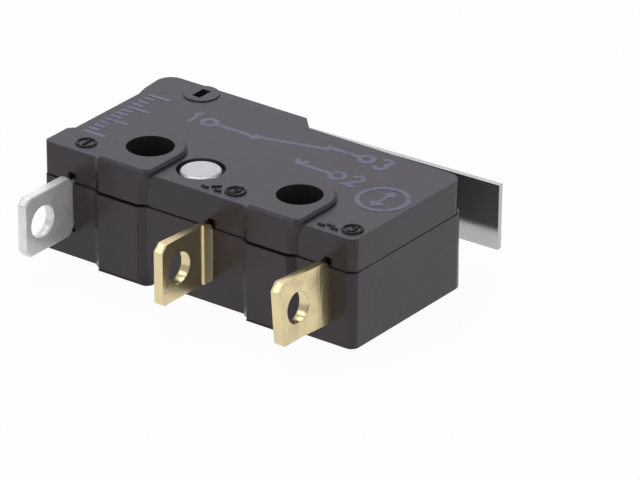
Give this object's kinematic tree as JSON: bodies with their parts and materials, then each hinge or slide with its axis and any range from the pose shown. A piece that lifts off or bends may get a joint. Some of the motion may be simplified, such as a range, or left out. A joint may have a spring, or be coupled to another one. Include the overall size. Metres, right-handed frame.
{
  "type": "lever micro switch",
  "caption": "Flat black snap-action switch with a hinged sheet-metal lever on one side and three flat solder terminals with eyes on the other.",
  "frame": {"origin": "axis of the left mounting hole, in the plane that the switch rests on", "axes": "+X along the body towards the plunger end, +Y from the terminals to the lever, +Z out of the marked cover"},
  "size_m": [0.0203, 0.0158, 0.0064],
  "materials": {
    "black_plastic": "satin, fine moulded texture",
    "plunger_plastic": "satin",
    "stainless": "bright rolled sheet",
    "rivet_metal": "smooth",
    "tinned_brass": "dull tin plate",
    "brass": "bright pale gold",
    "spring_copper": "rolled spring strip",
    "silver": "polished"
  },
  "bodies": {
    "root": {"case": "black_plastic", "cover": "black_plastic", "cover_rivet": "rivet_metal", "com_terminal": "tinned_brass", "no_terminal": "brass", "nc_terminal": "brass", "no_contact": "silver", "nc_contact": "silver"},
    "lever": {"lever": "stainless"},
    "plunger": {"plunger": "plunger_plastic"},
    "blade": {"contact_blade": "spring_copper", "moving_contact": "silver"},
    "bow": {"bow_spring": "spring_copper"}
  },
  "joints": [
    {"name": "lever_hinge", "type": "hinge", "parent": "root", "child": "lever", "pos_m": [-0.00216, 0.00697, 0.00315], "axis": [0, 0, 1], "range_deg": [-5, 0], "stiffness_Nm_per_rad": 0.03, "springref_deg": 3.44},
    {"name": "plunger_slide", "type": "slide", "parent": "root", "child": "plunger", "axis": [0, 1, 0], "range_m": [-0.00086, 0]},
    {"name": "blade_hinge", "type": "hinge", "parent": "root", "child": "blade", "pos_m": [-0.00378, 0.0047, 0.00315], "axis": [0, 0, 1], "range_deg": [-4.4, 0]},
    {"name": "bow_hinge", "type": "hinge", "parent": "root", "child": "bow", "pos_m": [-0.00034, 0.0036, 0.00315], "axis": [0, 0, 1], "range_deg": [-6.5, 0]}
  ],
  "couplings": [
    {"joint": "plunger_slide", "follows": "lever_hinge", "m_per_rad": 0.0097604},
    {"joint": "blade_hinge", "follows": "lever_hinge", "ratio": 0.85731},
    {"joint": "bow_hinge", "follows": "lever_hinge", "ratio": 1.2738}
  ]
}
